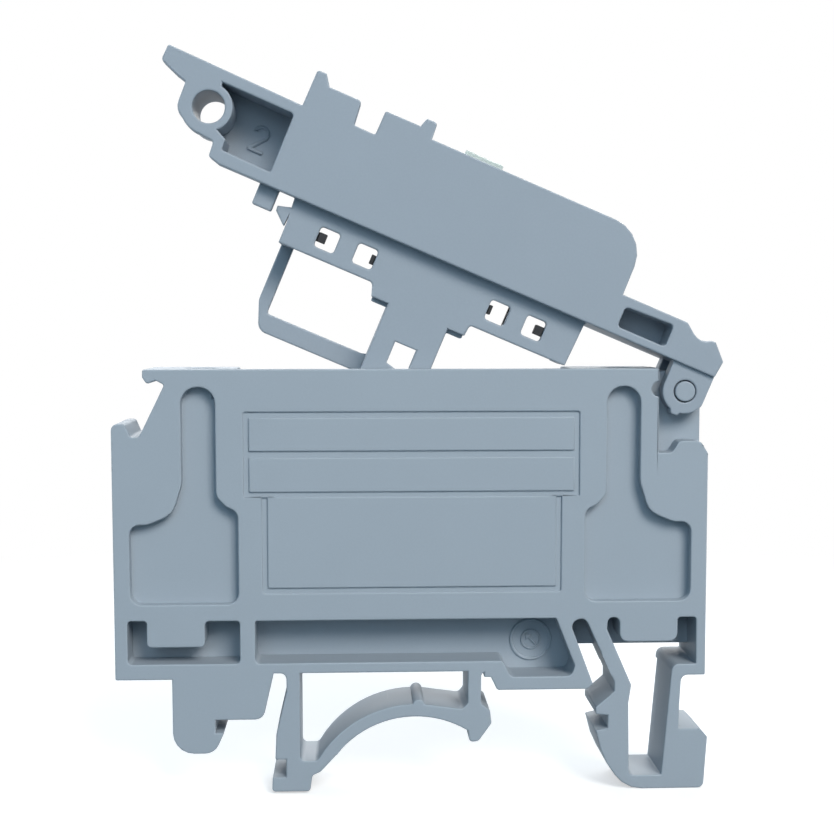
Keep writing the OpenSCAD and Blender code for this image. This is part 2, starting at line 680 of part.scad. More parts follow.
clip_low = fuse_z - cap_d / 2 - clip_play;
clip_high = fuse_z + cap_d / 2 + clip_play;
clip_back = core_y - cap_d / 2 - clip_play;
clip_shift = 7.9;
blade_foot = -1.9;
module clip_profile_side() {
    // section across the fuse: depth to the right, height up
    polygon([
        [clip_back - clip_wall, clip_low - clip_wall], [1.6, clip_low - clip_wall], [3, clip_low - clip_wall - 0.35],
        [3, clip_low - 0.35], [1.6, clip_low], [clip_back, clip_low], [clip_back, clip_high], [1.6, clip_high],
        [3, clip_high + 0.35], [3, clip_high + clip_wall + 0.1], [1.6, clip_high + clip_wall],
        [clip_back - clip_wall, clip_high + clip_wall]
    ]);
}
// Barbs show in two windows of the tab on each side: [leg from, leg to, barb from, barb to]
function barbs(s) = s < 0 ? [[-36.3, -35.45, -35.3, -34.6], [-29.85, -29.2, -30.36, -30]]
    : [[-19.95, -19.1, -19, -18.7], [-13.65, -13, -14.5, -13.75]];
function blade_x(s) = fuse_x + s * 8.125 - 0.025;
module fuse_clip(s) color(steel) lever_place() {
    blade = blade_x(s);
    x0 = fuse_x + s * clip_shift - clip_width / 2;
    translate([x0, 0, 0]) rotate([90, 0, 90]) linear_extrude(clip_width) clip_profile_side();
    // knife blade
    block([blade - 0.75, core_y - blade_thick / 2, blade_foot], [blade + 0.75, core_y + blade_thick / 2, clip_low - clip_wall / 2]);
    // shoulders that carry the barbs
    block([barbs(s)[0][0], barb_y, clip_low - clip_wall], [barbs(s)[1][1], barb_y + clip_wall, clip_low]);
    for (b = barbs(s)) {
        block([b[0], barb_y, -0.55], [b[1], barb_y + clip_wall, clip_low]);
        block([min(b[0], b[2]), barb_y, -0.55], [max(b[1], b[3]), barb_y + clip_wall, 0.3]);
        block([b[2], tab_y + 0.1, -0.55], [b[3], barb_y + clip_wall, 0.3]);
    }
}
barb_y = tab_y + tab_wall + 0.05;

fork_x = 8.1;
fork_gap = blade_thick + 0.1;
fork_top = pivot_z + 0.2;
fork_foot = bar_z + bar_thick;
// Half of a contact fork in section: a leaf that leans in to the blade and flares at its mouth
module fork_section() {
    polygon([
        [0, fork_foot], [1.5, fork_foot], [1.5, 21], [fork_gap / 2 + fork_wall, 26.6], [fork_gap / 2 + fork_wall, 28.2],
        [1.35, fork_top], [0.95, fork_top], [fork_gap / 2, 28.2], [fork_gap / 2, 26.6], [1.5 - fork_wall, 21],
        [1.5 - fork_wall, fork_foot + fork_wall], [0, fork_foot + fork_wall]
    ]);
}
module contact_fork(s) color(copper) {
    width = 2.6;
    translate([s * fork_x - width / 2, core_y, 0]) difference() {
        for (m = [0, 1]) mirror([0, m, 0]) rotate([90, 0, 90]) linear_extrude(width) fork_section();
        translate([width / 2, 0, fork_foot - 1]) cylinder(d = rivet_d + 0.04, h = 3);
    }
}

module fork_rivet(s) color(steel) {
    translate([s * fork_x, core_y, 0]) {
        translate([0, 0, bar_z]) cylinder(d = rivet_d, h = bar_thick + fork_wall + 0.01);
        translate([0, 0, fork_foot + fork_wall]) cylinder(d1 = rivet_d + 0.6, d2 = rivet_d, h = 0.4);
    }
}

module current_bar(s) color(copper) {
    difference() {
        side(s) union() {
            block([fork_x - 2, core_y - bar_width / 2, bar_z], [clamp_x - 2.4, core_y + bar_width / 2, bar_z + bar_thick]);
            block([clamp_x - 2.5, core_y - cage_width / 2 + cage_wall + 0.1, bar_z],
                [clamp_x + cage_length / 2 + 0.5, core_y + cage_width / 2 - cage_wall - 0.1, bar_z + bar_thick]);
        }
        translate([s * fork_x, core_y, bar_z - 1]) cylinder(d = rivet_d + 0.04, h = 5);
    }
}

// Clamps

cage_low = bar_z - cage_room - cage_floor;
module clamp_cage(s) color(steel) side(s) translate([clamp_x, core_y, 0]) difference() {
    block([-cage_length / 2, -cage_width / 2, cage_low], [cage_length / 2, cage_width / 2, cage_high + cage_top]);
    block([-cage_length, -cage_width / 2 + cage_wall, cage_low + cage_floor],
        [cage_length, cage_width / 2 - cage_wall, cage_high]);
    translate([0, 0, cage_high - 1]) cylinder(d = screw_d, h = cage_top + 2);
    // bevelled top edges
    for (m = [0, 1]) mirror([m, 0, 0]) translate([cage_length / 2, 0, cage_high + cage_top])
        rotate([0, 45, 0]) cube([1, cage_width + 1, 1], center = true);
    // grip grooves across the floor
    for (x = [-2.2:1.1:2.2]) translate([x, 0, cage_low + cage_floor])
        rotate([0, 45, 0]) cube([0.3, cage_width - 2 * cage_wall - 0.1, 0.3], center = true);
}

screw_tip = bar_z + bar_thick + 0.02;
module clamp_screw(s) color(steel) translate([s * clamp_x, core_y, 0]) difference() {
    union() {
        translate([0, 0, screw_tip]) cylinder(d1 = screw_d - 1, d2 = screw_d - 0.1, h = 0.45);
        translate([0, 0, screw_tip + 0.45]) cylinder(d = screw_d - 0.1, h = head_low - screw_tip - 0.4);
        translate([0, 0, head_low]) cylinder(d = head_d, h = head_height - 0.2);
        translate([0, 0, head_low + head_height - 0.2]) cylinder(d1 = head_d, d2 = head_d - 0.4, h = 0.2);
    }
    translate([0, 0, head_low + head_height]) cube([head_d + 1, 0.6, 2], center = true);
}

housing();
fuse_lever();
indicator_lens();
indicator_board();
indicator_led();
indicator_resistor();
indicator_spring(-1);  // indicator_spring_left
indicator_spring(1);  // indicator_spring_right
fuse_glass();
fuse_cap(-1);  // fuse_cap_left
fuse_cap(1);  // fuse_cap_right
fuse_wire();
fuse_clip(-1);  // fuse_clip_left
fuse_clip(1);  // fuse_clip_right
contact_fork(-1);  // contact_fork_left
contact_fork(1);  // contact_fork_right
fork_rivet(-1);  // fork_rivet_left
fork_rivet(1);  // fork_rivet_right
current_bar(-1);  // current_bar_left
current_bar(1);  // current_bar_right
clamp_cage(-1);  // clamp_cage_left
clamp_cage(1);  // clamp_cage_right
clamp_screw(-1);  // clamp_screw_left
clamp_screw(1);  // clamp_screw_right
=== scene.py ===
# %% [markdown]
# # A fuse terminal block, finished in Blender
#
# The real object is a slim block of moulded polyamide that snaps onto a rail. A lever with a
# glass fuse in it swings out of the top, and a screw clamp sits inside at each end. The packed
# part brings every rigid piece at its real size. This script gives each one its finish, rounds
# the moulded edges, and adds the small things that a solid model leaves out.

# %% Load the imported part
import itertools
import json
import math

import bmesh
import bpy
from mathutils import Matrix, Vector


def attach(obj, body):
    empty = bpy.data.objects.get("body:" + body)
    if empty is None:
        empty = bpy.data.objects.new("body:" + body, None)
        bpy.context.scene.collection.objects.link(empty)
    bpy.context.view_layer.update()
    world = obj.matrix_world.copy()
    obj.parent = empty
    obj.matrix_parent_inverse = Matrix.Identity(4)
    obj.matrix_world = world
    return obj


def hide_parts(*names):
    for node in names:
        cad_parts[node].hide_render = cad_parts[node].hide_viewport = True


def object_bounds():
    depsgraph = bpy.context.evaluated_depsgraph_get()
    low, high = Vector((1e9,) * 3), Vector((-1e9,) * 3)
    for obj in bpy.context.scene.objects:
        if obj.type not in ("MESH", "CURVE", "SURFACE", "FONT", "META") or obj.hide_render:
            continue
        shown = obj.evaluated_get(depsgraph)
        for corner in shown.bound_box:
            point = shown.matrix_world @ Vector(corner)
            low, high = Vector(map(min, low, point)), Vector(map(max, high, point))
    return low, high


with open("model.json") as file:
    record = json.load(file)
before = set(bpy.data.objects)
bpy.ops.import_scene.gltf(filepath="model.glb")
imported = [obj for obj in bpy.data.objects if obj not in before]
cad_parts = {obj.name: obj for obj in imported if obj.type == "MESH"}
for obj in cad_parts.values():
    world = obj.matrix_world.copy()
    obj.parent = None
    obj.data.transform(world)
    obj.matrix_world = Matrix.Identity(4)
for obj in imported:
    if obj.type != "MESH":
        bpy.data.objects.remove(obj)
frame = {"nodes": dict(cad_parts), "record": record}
cad_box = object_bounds()
nodes = frame["nodes"]
record = frame["record"]
MM = 0.001
print("pieces in the frame:", len(nodes))

# %% [markdown]
# ## The camera
#
# The photograph was taken from close by with a long lens, looking down a little. A camera could
# be set by eye, but its place follows from the object itself: the rail hooks, the two end walls
# and the hinge pin give enough known points to solve for it, and the numbers below are that
# solution. A small shift moves the lens axis to the pixel where it met the photograph, so the
# verticals lean as they do there.

# %% Place the camera
frame_width = 834
lens_axis = (439.2, 471.6)
camera_data = bpy.data.cameras.new("camera")
camera = bpy.data.objects.new("camera", camera_data)
bpy.context.scene.collection.objects.link(camera)
bpy.context.scene.camera = camera
camera.location = Vector((-5.05, -149.44, 35.74)) * MM
camera.rotation_euler = [math.radians(angle) for angle in (84.693, 0.032, -2.926)]
camera_data.sensor_width = 36
camera_data.lens = 71.18
camera_data.shift_x = (frame_width / 2 - lens_axis[0]) / frame_width
camera_data.shift_y = (lens_axis[1] - frame_width / 2) / frame_width
camera_data.clip_start = 5 * MM
camera_data.clip_end = 5
print("camera shift:", round(camera_data.shift_x, 3), round(camera_data.shift_y, 3))

# %% [markdown]
# ## Lamps
#
# Plain studio light is one large soft lamp. Here it stands at the upper right, where it lays a
# dark line along the upper and right walls of every pocket. Weak lamps help it: a bluish one in
# front lifts those walls a little, a small one low on the right reaches the feet, and the back
# and left lamps are for the sides that the photograph doesn't show. Strong lamps all round
# would be simpler, but they would wash the dark lines out.

# %% Set up the lamps
bpy.context.scene.view_settings.view_transform = "Standard"
middle = (cad_box[0] + cad_box[1]) / 2
white_light = (1, 1, 1)
# Each lamp has a place and a width in metres, a power in watts and a colour.
lamps = {"key_lamp": ((0.36, -0.80, 0.62), 0.45, 9.8, (1, 0.965, 0.92)),
         "side_lamp": ((0.26, -0.30, 0.03), 0.15, 0.12, white_light),
         "fill_lamp": ((-0.08, -0.40, 0.20), 0.20, 0.46, (0.55, 0.71, 0.84)),
         "back_lamp": ((0.05, 0.40, 0.30), 0.40, 1.6, white_light),
         "left_lamp": ((-0.42, 0.10, 0.20), 0.30, 1.1, white_light)}
for name, (place, width, power, color) in lamps.items():
    light = bpy.data.lights.new(name, "AREA")
    light.size = width
    light.energy = power
    light.color = color
    lamp = bpy.data.objects.new(name, light)
    lamp.location = place
    lamp.rotation_euler = (middle - Vector(place)).to_track_quat("-Z", "Y").to_euler()
    bpy.context.scene.collection.objects.link(lamp)
print("lamps:", len(lamps))

# %% [markdown]
# ## The room
#
# The world around the object does two jobs. To the camera, to glass and to metal it is a white
# room. To all other light it is dim and bluish, because a bright room would fill the pockets
# and flatten them. One colour for both would be simpler, but a Light Path node can tell the
# rays apart. For reflections the white room grows darker below the horizon, as a real room
# does, so that bright metal keeps its form.

# %% Helpers for shader nodes


def arithmetic(tree, operation, first, second):
    """One Math node. A number is typed into its socket, and a socket is linked."""
    node = tree.nodes.new("ShaderNodeMath")
    node.operation = operation
    for socket, value in zip(node.inputs, (first, second)):
        if isinstance(value, (int, float)):
            socket.default_value = value
        else:
            tree.links.new(value, socket)
    return node.outputs[0]


def map_range(tree, value, given=(0, 1), wanted=(0, 1), interpolation="LINEAR"):
    """One Map Range node, which carries a value from the given range to the wanted one."""
    node = tree.nodes.new("ShaderNodeMapRange")
    node.interpolation_type = interpolation
    for label, limit in zip(("From Min", "From Max", "To Min", "To Max"), given + wanted):
        node.inputs[label].default_value = limit
    tree.links.new(value, node.inputs["Value"])
    return node.outputs[0]


def seen_directly(tree):
    """A mask that is 1 for camera, glossy and transmission rays, and 0 for the light itself."""
    path = tree.nodes.new("ShaderNodeLightPath")
    seen = path.outputs["Is Camera Ray"]
    for ray in ("Is Glossy Ray", "Is Transmission Ray"):
        seen = arithmetic(tree, "MAXIMUM", seen, path.outputs[ray])
    return seen


def mixed(tree, factor, first, second):
    """A Mix Shader between two shader sockets."""
    mix = tree.nodes.new("ShaderNodeMixShader")
    tree.links.new(factor, mix.inputs[0])
    tree.links.new(first, mix.inputs[1])
    tree.links.new(second, mix.inputs[2])
    return mix.outputs[0]


# %% Build the room
world = bpy.data.worlds.new("room")
world.use_nodes = True
bpy.context.scene.world = world
room = world.node_tree
dim_room = room.nodes["Background"]
dim_room.inputs["Color"].default_value = (0.24, 0.68, 1, 1)
dim_room.inputs["Strength"].default_value = 0.22
white_room = room.nodes.new("ShaderNodeBackground")
white_room.inputs["Color"].default_value = (1, 1, 1, 1)
direction = room.nodes.new("ShaderNodeTexCoord")
height = room.nodes.new("ShaderNodeSeparateXYZ")
room.links.new(direction.outputs["Generated"], height.inputs[0])
above_horizon = map_range(room, height.outputs["Z"], given=(-0.25, 0.25), wanted=(0.20, 1))
looking = room.nodes.new("ShaderNodeLightPath")
brightness = arithmetic(room, "MAXIMUM", above_horizon, looking.outputs["Is Camera Ray"])
room.links.new(brightness, white_room.inputs["Strength"])
both_rooms = mixed(room, seen_directly(room), dim_room.outputs[0], white_room.outputs[0])
room.links.new(both_rooms, room.nodes["World Output"].inputs["Surface"])
print("room nodes:", len(room.nodes))

# %% [markdown]
# ## The floor
#
# A white sweep behind a product is really one sheet of paper, curved up at the back. Here a
# flat sheet does the job: near the object it is paper that takes a shadow, and further out its
# material fades to pure white, so no horizon shows. For light that bounces off it, the sheet is
# dark, or it would brighten every downward face.

# %% Lay the floor
floor_half_width = 3
floor_level = cad_box[0].z - 0.02 * MM
floor_mesh = bpy.data.meshes.new("floor")
floor_form = bmesh.new()
bmesh.ops.create_grid(floor_form, x_segments=1, y_segments=1, size=floor_half_width,
                      matrix=Matrix.Translation((0, 0, floor_level)))
floor_form.to_mesh(floor_mesh)
floor_form.free()
floor = bpy.data.objects.new("floor", floor_mesh)
bpy.context.scene.collection.objects.link(floor)
print("floor at", round(floor_level / MM, 2), "mm")

# %% Paper for the floor
fade_start, fade_end = 0.06, 0.16
floor_material = bpy.data.materials.new("floor_paper")
floor_material.use_nodes = True
paper = floor_material.node_tree
paper.nodes.remove(paper.nodes["Principled BSDF"])
grey_paper = paper.nodes.new("ShaderNodeBsdfDiffuse")
grey_paper.inputs["Color"].default_value = (0.62, 0.62, 0.62, 1)
glow = paper.nodes.new("ShaderNodeEmission")
glow.inputs["Strength"].default_value = 0.55
lit_paper = paper.nodes.new("ShaderNodeAddShader")
paper.links.new(grey_paper.outputs[0], lit_paper.inputs[0])
paper.links.new(glow.outputs[0], lit_paper.inputs[1])
dim_paper = paper.nodes.new("ShaderNodeBsdfDiffuse")
dim_paper.inputs["Color"].default_value = (0.10, 0.15, 0.18, 1)
white = paper.nodes.new("ShaderNodeEmission")
coordinates = paper.nodes.new("ShaderNodeTexCoord")
distance = paper.nodes.new("ShaderNodeVectorMath")
distance.operation = "LENGTH"
paper.links.new(coordinates.outputs["Object"], distance.inputs[0])
fade = map_range(paper, distance.outputs["Value"], given=(fade_start, fade_end),
                 interpolation="SMOOTHSTEP")
near_and_far = mixed(paper, fade, lit_paper.outputs[0], white.outputs[0])
both_papers = mixed(paper, seen_directly(paper), dim_paper.outputs[0], near_and_far)
paper.links.new(both_papers, paper.nodes["Material Output"].inputs["Surface"])
floor_mesh.materials.append(floor_material)
print("floor is white beyond", fade_end, "m")

# %% [markdown]
# ## Shared effects
#
# Several finishes use the same two effects, so each effect is a node group that is built once.
# Moulded plastic takes the fine grain of the spark-eroded mould and varies a little in colour.
# Plated metal has a fine drawn grain along the strip, soft stains, and a roughness that changes
# with them. Pictures of both could be wrapped around the pieces, but noise needs no unwrapping
# and has no seams. Both groups read Object coordinates, because every piece sits at the origin.

# %% Helpers for effect groups


def effect_group(name, inputs):
    """A node group with float or colour inputs, and Color, Roughness and Normal outputs."""
    group = bpy.data.node_groups.new(name, "ShaderNodeTree")
    for label, value in inputs.items():
        kind = "NodeSocketColor" if isinstance(value, tuple) else "NodeSocketFloat"
        socket = group.interface.new_socket(label, in_out="INPUT", socket_type=kind)
        socket.default_value = value
    for label, kind in (("Color", "NodeSocketColor"), ("Roughness", "NodeSocketFloat"),
                        ("Normal", "NodeSocketVector")):
        group.interface.new_socket(label, in_out="OUTPUT", socket_type=kind)
    given = group.nodes.new("NodeGroupInput")
    result = group.nodes.new("NodeGroupOutput")
    place = group.nodes.new("ShaderNodeTexCoord").outputs["Object"]
    return group, given, result, place


def noise(tree, place, scale, detail=2.0, stretch=None):
    """Noise of a given scale, in cycles per metre, drawn out along one axis if stretch is given."""
    if stretch:
        mapping = tree.nodes.new("ShaderNodeMapping")
        mapping.inputs["Scale"].default_value = stretch
        tree.links.new(place, mapping.inputs["Vector"])
        place = mapping.outputs[0]
    texture = tree.nodes.new("ShaderNodeTexNoise")
    texture.inputs["Detail"].default_value = detail
    tree.links.new(place, texture.inputs["Vector"])
    if isinstance(scale, (int, float)):
        texture.inputs["Scale"].default_value = scale
    else:
        tree.links.new(scale, texture.inputs["Scale"])
    return texture.outputs["Fac"]


def scaled_color(tree, color, factor):
    """A colour made lighter or darker by a factor."""
    node = tree.nodes.new("ShaderNodeVectorMath")
    node.operation = "SCALE"
    tree.links.new(color, node.inputs[0])
    tree.links.new(factor, node.inputs["Scale"])
    return node.outputs[0]


def bump(tree, height, depth):
    """A bump of a given depth in metres."""
    node = tree.nodes.new("ShaderNodeBump")
    node.inputs["Strength"].default_value = 1
    tree.links.new(height, node.inputs["Height"])
    tree.links.new(depth, node.inputs["Distance"])
    return node.outputs[0]


# %% Moulded plastic
noise_middle = 0.5
cloud_scale, speck_strength, gloss_change = 160, 0.06, 0.16
moulded, given, result, place = effect_group(
    "moulded_plastic", {"Color": (0.5, 0.5, 0.5, 1), "Mottle": 0.05, "Roughness": 0.5,
                        "Grain": 5000.0, "Depth": 0.000004})
cloud = noise(moulded, place, cloud_scale, detail=3)
grain = noise(moulded, place, given.outputs["Grain"])
cloud_swing = arithmetic(moulded, "SUBTRACT", cloud, noise_middle)
grain_swing = arithmetic(moulded, "SUBTRACT", grain, noise_middle)
shade = arithmetic(moulded, "MULTIPLY", cloud_swing, given.outputs["Mottle"])
specks = arithmetic(moulded, "MULTIPLY", grain_swing, speck_strength)
shade = arithmetic(moulded, "ADD", arithmetic(moulded, "ADD", shade, 1.0), specks)
shaded = scaled_color(moulded, given.outputs["Color"], shade)
moulded.links.new(shaded, result.inputs["Color"])
rough = arithmetic(moulded, "MULTIPLY", cloud_swing, gloss_change)
rough = arithmetic(moulded, "ADD", rough, given.outputs["Roughness"])
moulded.links.new(rough, result.inputs["Roughness"])
moulded.links.new(bump(moulded, grain, given.outputs["Depth"]), result.inputs["Normal"])
print("moulded plastic:", len(moulded.nodes), "nodes")

# %% Plated metal
drawn_scale, drawn_stretch, drawn_roughness = 4000, (0.06, 1, 1), 0.08
stain_scale, stain_limits, stain_roughness = 420, (0.45, 0.75), 0.4
plated, given, result, place = effect_group(
    "plated_metal", {"Color": (0.7, 0.7, 0.7, 1), "Stain": (0.4, 0.4, 0.4, 1),
                     "Stain Amount": 0.3, "Roughness": 0.3, "Depth": 0.000002})
drawn = noise(plated, place, drawn_scale, detail=3, stretch=drawn_stretch)
blotch = noise(plated, place, stain_scale, detail=4)
stained = map_range(plated, blotch, given=stain_limits)
stained = arithmetic(plated, "MULTIPLY", stained, given.outputs["Stain Amount"])
mix = plated.nodes.new("ShaderNodeMix")
mix.data_type = "RGBA"
plated.links.new(stained, mix.inputs["Factor"])
plated.links.new(given.outputs["Color"], mix.inputs["A"])
plated.links.new(given.outputs["Stain"], mix.inputs["B"])
plated.links.new(mix.outputs["Result"], result.inputs["Color"])
rough = arithmetic(plated, "MULTIPLY", stained, stain_roughness)
rough = arithmetic(plated, "ADD", given.outputs["Roughness"], rough)
rough = arithmetic(plated, "ADD", rough, arithmetic(plated, "MULTIPLY", drawn, drawn_roughness))
plated.links.new(rough, result.inputs["Roughness"])
plated.links.new(bump(plated, drawn, given.outputs["Depth"]), result.inputs["Normal"])
print("plated metal:", len(plated.nodes), "nodes")

# %% [markdown]
# ## Finishes
#
# The body and the lever are the same grey-blue polyamide; the lever's copy is a little darker,
# which is painted shade for the darker top of the block. The forks and the current bars are
# tinned strip, the clips are spring bronze painted near-black as shade, because their barbs sit
# in deep shadow in the lever's windows, and the clamps are zinc-plated steel. A plain colour
# for each would be quick, but close up it looks like paint. So each material keeps its own
# Principled shader, and an effect group feeds its colour, roughness and normal. What is the
# same all over, such as metallic, coat or the index of refraction, is typed into the shader's
# own socket.

# %% A helper for finishes
finishes = {}


def finish(slot, group, values, **sockets):
    """A material for one of the record's slots, from an effect group and plain socket values."""
    material = bpy.data.materials.new(slot)
    material.use_nodes = True
    tree = material.node_tree
    shader = tree.nodes["Principled BSDF"]
    effect = tree.nodes.new("ShaderNodeGroup")
    effect.node_tree = group
    for label, value in values.items():
        effect.inputs[label].default_value = value
    for output, socket in (("Color", "Base Color"), ("Roughness", "Roughness"),
                           ("Normal", "Normal")):
        tree.links.new(effect.outputs[output], shader.inputs[socket])
    for label, value in sockets.items():
        shader.inputs[label.replace("_", " ")].default_value = value
    finishes[slot] = material


# %% Plastic and ceramic finishes
finish("body_plastic", moulded, {"Color": (0.330, 0.376, 0.424, 1), "Roughness": 0.52},
       Specular_IOR_Level=0.26)
# The lever's grey-blue is a little darker than the body's: painted shade for the darker top of the
# block.
finish("lever_plastic", moulded, {"Color": (0.308, 0.352, 0.402, 1), "Roughness": 0.50},
       Specular_IOR_Level=0.28)
finish("board", moulded, {"Color": (0.035, 0.16, 0.065, 1), "Mottle": 0.2, "Roughness": 0.3,
                          "Depth": 0.000002}, Coat_Weight=0.3)
finish("resistor", moulded, {"Color": (0.02, 0.02, 0.024, 1), "Roughness": 0.35})
finish("led", moulded, {"Color": (0.82, 0.80, 0.66, 1), "Roughness": 0.25, "Depth": 0.000001})
finish("lens", moulded, {"Color": (0.66, 0.73, 0.69, 1), "Mottle": 0.08, "Roughness": 0.34,
                         "Depth": 0.000002}, Transmission_Weight=0.35, IOR=1.49)
print("plastic and ceramic finishes:", len(finishes))

# %% Metal finishes
metals = {"contact_metal": {"Color": (0.70, 0.68, 0.62, 1), "Stain": (0.42, 0.37, 0.29, 1)},
          "bar_metal": {"Color": (0.66, 0.65, 0.61, 1), "Stain": (0.40, 0.36, 0.30, 1)},
          # The clips' near-black colour is painted shade: their barbs sit in deep shadow in the
          # lever's windows.
          "clip_metal": {"Color": (0.035, 0.037, 0.040, 1), "Stain": (0.02, 0.02, 0.02, 1),
                         "Roughness": 0.50},
          "rivet_metal": {"Color": (0.72, 0.72, 0.74, 1), "Roughness": 0.26},
          "cap_metal": {"Color": (0.72, 0.71, 0.69, 1), "Stain": (0.5, 0.49, 0.47, 1),
                        "Roughness": 0.18, "Depth": 0.000001},
          "clamp_steel": {"Color": (0.50, 0.52, 0.56, 1), "Stain": (0.34, 0.35, 0.38, 1),
                          "Roughness": 0.33},
          "screw_steel": {"Color": (0.56, 0.57, 0.60, 1), "Stain": (0.38, 0.38, 0.40, 1),
                          "Roughness": 0.28}}
for slot, values in metals.items():
    finish(slot, plated, values, Metallic=1)
print("metal finishes:", len(metals))

# %% [markdown]
# ## Clear glass
#
# The tube of the fuse is clear glass with a breath of green. A see-through shader that doesn't
# bend light would render faster, but the bright lines along the tube would be gone. So the
# Principled shader transmits and bends the light, and a soft noise in its roughness stands for
# the smears that fingers leave.

# %% Clear glass
glass = bpy.data.materials.new("glass")
glass.use_nodes = True
tube = glass.node_tree
clear = tube.nodes["Principled BSDF"]
clear.inputs["Transmission Weight"].default_value = 1
clear.inputs["IOR"].default_value = 1.5
clear.inputs["Base Color"].default_value = (0.96, 0.985, 0.975, 1)
smear_scale, smear_roughness = 300, (0.01, 0.07)
coordinates = tube.nodes.new("ShaderNodeTexCoord")
smears = noise(tube, coordinates.outputs["Object"], smear_scale)
tube.links.new(map_range(tube, smears, wanted=smear_roughness), clear.inputs["Roughness"])
finishes["glass"] = glass
print("finishes:", len(finishes))

# %% [markdown]
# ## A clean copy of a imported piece
#
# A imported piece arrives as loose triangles, and its own mesh stays as it is. Every moulded and
# stamped piece is therefore copied, its doubled points are merged, and its flat faces are
# divided into well-shaped triangles. Those still come out long and thin on a large face with
# many openings, so such a piece is cut into cells first. Remeshing would be simpler, but it
# would lose the crisp corners.

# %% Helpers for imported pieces
slot_of = {part["node"]: part["material_slot"] for part in record["subparts"]}
body_of = {name: body for body, names in record["behaviour"]["bodies"].items() for name in names}


def cut_into_cells(form, cell):
    """Cut a bmesh by planes across X and Z that are a cell apart, in millimetres, or less."""
    for axis in (0, 2):
        low, high = (pick(vert.co[axis] for vert in form.verts) for pick in (min, max))
        count = int((high - low) / (cell * MM))
        for number in range(1, count + 1):
            point, normal = Vector(), Vector()
            point[axis] = low + number * (high - low) / (count + 1)
            normal[axis] = 1
            bmesh.ops.bisect_plane(form, geom=form.verts[:] + form.edges[:] + form.faces[:],
                                   dist=0.01 * MM, plane_co=point, plane_no=normal)


def packed_form(node, cell=None):
    """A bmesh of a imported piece, with its points merged and its flats in even triangles."""
    merge_distance, flat_angle, shortest_edge = 0.001 * MM, math.radians(0.6), 0.002 * MM
    form = bmesh.new()
    form.from_mesh(nodes[node].data)
    form.faces.layers.int.new("rounded")
    bmesh.ops.remove_doubles(form, verts=form.verts, dist=merge_distance)
    bmesh.ops.dissolve_limit(form, angle_limit=flat_angle, verts=form.verts, edges=form.edges)
    if cell:
        cut_into_cells(form, cell)
    bmesh.ops.triangulate(form, faces=form.faces, quad_method="BEAUTY", ngon_method="BEAUTY")
    bmesh.ops.dissolve_degenerate(form, edges=form.edges, dist=shortest_edge)
    return form


# %% [markdown]
# ## Rounded edges
#
# No moulded or stamped edge is quite sharp: even a crisp one has a tenth of a millimetre of
# radius, and that radius is what catches the light. A Bevel modifier would round every edge,
# also where there is no room. The bevel operator takes only the edges that it is given: where
# two edges meet in a needle, their bevels would cross far out, so both stay sharp, and so do
# the edges of a strip narrower than the bevel. A sliver that folds over all the same is turned
# to face outwards.

# %% A helper that rounds edges


def soften(form, radius):
    """Bevel the sharp convex edges to a radius in millimetres, where there is room for it."""
    sharp_angle, needle_angle, folded_angle = (math.radians(angle) for angle in (32, 25, 165))
    sharp = {edge for edge in form.edges
             if edge.is_manifold and edge.is_convex and edge.calc_face_angle() > sharp_angle}
    for vert in form.verts:
        arms = [edge for edge in vert.link_edges if edge in sharp]
        for first, second in itertools.combinations(arms, 2):
            along_first = first.other_vert(vert).co - vert.co
            along_second = second.other_vert(vert).co - vert.co
            if along_first.angle(along_second) < needle_angle:
                sharp -= {first, second}
    for edge in list(sharp):
        length = edge.calc_length()
        narrowest = min(2 * face.calc_area() / length for face in edge.link_faces)
        if length > 4 * radius * MM and narrowest < radius / 2 * MM:
            sharp.discard(edge)
    bevel = bmesh.ops.bevel(form, geom=list(sharp), offset=radius * MM, offset_type="OFFSET",
                            affect="EDGES", segments=2, profile=0.5, material=-1,
                            loop_slide=False, clamp_overlap=False)
    rounded = form.faces.layers.int["rounded"]
    for face in bevel["faces"]:
        face[rounded] = 1
    wide = [face for face in form.faces if len(face.verts) > 4]
    bmesh.ops.triangulate(form, faces=wide, quad_method="BEAUTY", ngon_method="EAR_CLIP")
    form.normal_update()
    folded = [face for face in form.faces
              if sum(edge.is_manifold and edge.calc_face_angle() > folded_angle
                     for edge in face.edges) > 1]
    bmesh.ops.reverse_faces(form, faces=folded)


# %% [markdown]
# ## From a mesh to a piece
#
# A real moulding has flat faces with round edges between them. Smooth shading all over would be
# simpler, but it would bend the light on the flats. So the flats keep flat shading, only the
# bevels and the curves are smooth, and a Weighted Normal modifier keeps the large faces flat
# while the bevels between them look round.

# %% A helper that makes pieces


def make_piece(name, form, slot, body, *stands_for):
    """Turn a bmesh into a piece that rides on a body and carries a finish."""
    flat_angle, curve_angle = math.radians(1), math.radians(38)
    rounded = form.faces.layers.int.get("rounded")
    for face in form.faces:
        face.smooth = True
        if rounded and not face[rounded]:
            bends = [edge.calc_face_angle() for edge in face.edges
                     if edge.is_manifold and not any(other[rounded] for other in edge.link_faces)]
            face.smooth = any(flat_angle < bend < curve_angle for bend in bends)
    for edge in form.edges:
        edge.smooth = edge.is_manifold and edge.calc_face_angle() < curve_angle
    mesh = bpy.data.meshes.new(name)
    form.to_mesh(mesh)
    form.free()
    mesh.materials.append(finishes[slot])
    piece = bpy.data.objects.new(name, mesh)
    bpy.context.scene.collection.objects.link(piece)
    normals = piece.modifiers.new("flat_faces", "WEIGHTED_NORMAL")
    normals.keep_sharp = True
    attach(piece, body)
    if stands_for:
        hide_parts(*stands_for)


# %% [markdown]
# ## Moulded and stamped pieces
#
# How round an edge is depends on how the piece was made: the mouldings have the roundest ones,
# a cut strip is rounded by a few hundredths of a millimetre, and spring wire least. One radius
# for all would be wider than the thin strips can take, so the table gives each piece its own,
# in millimetres.

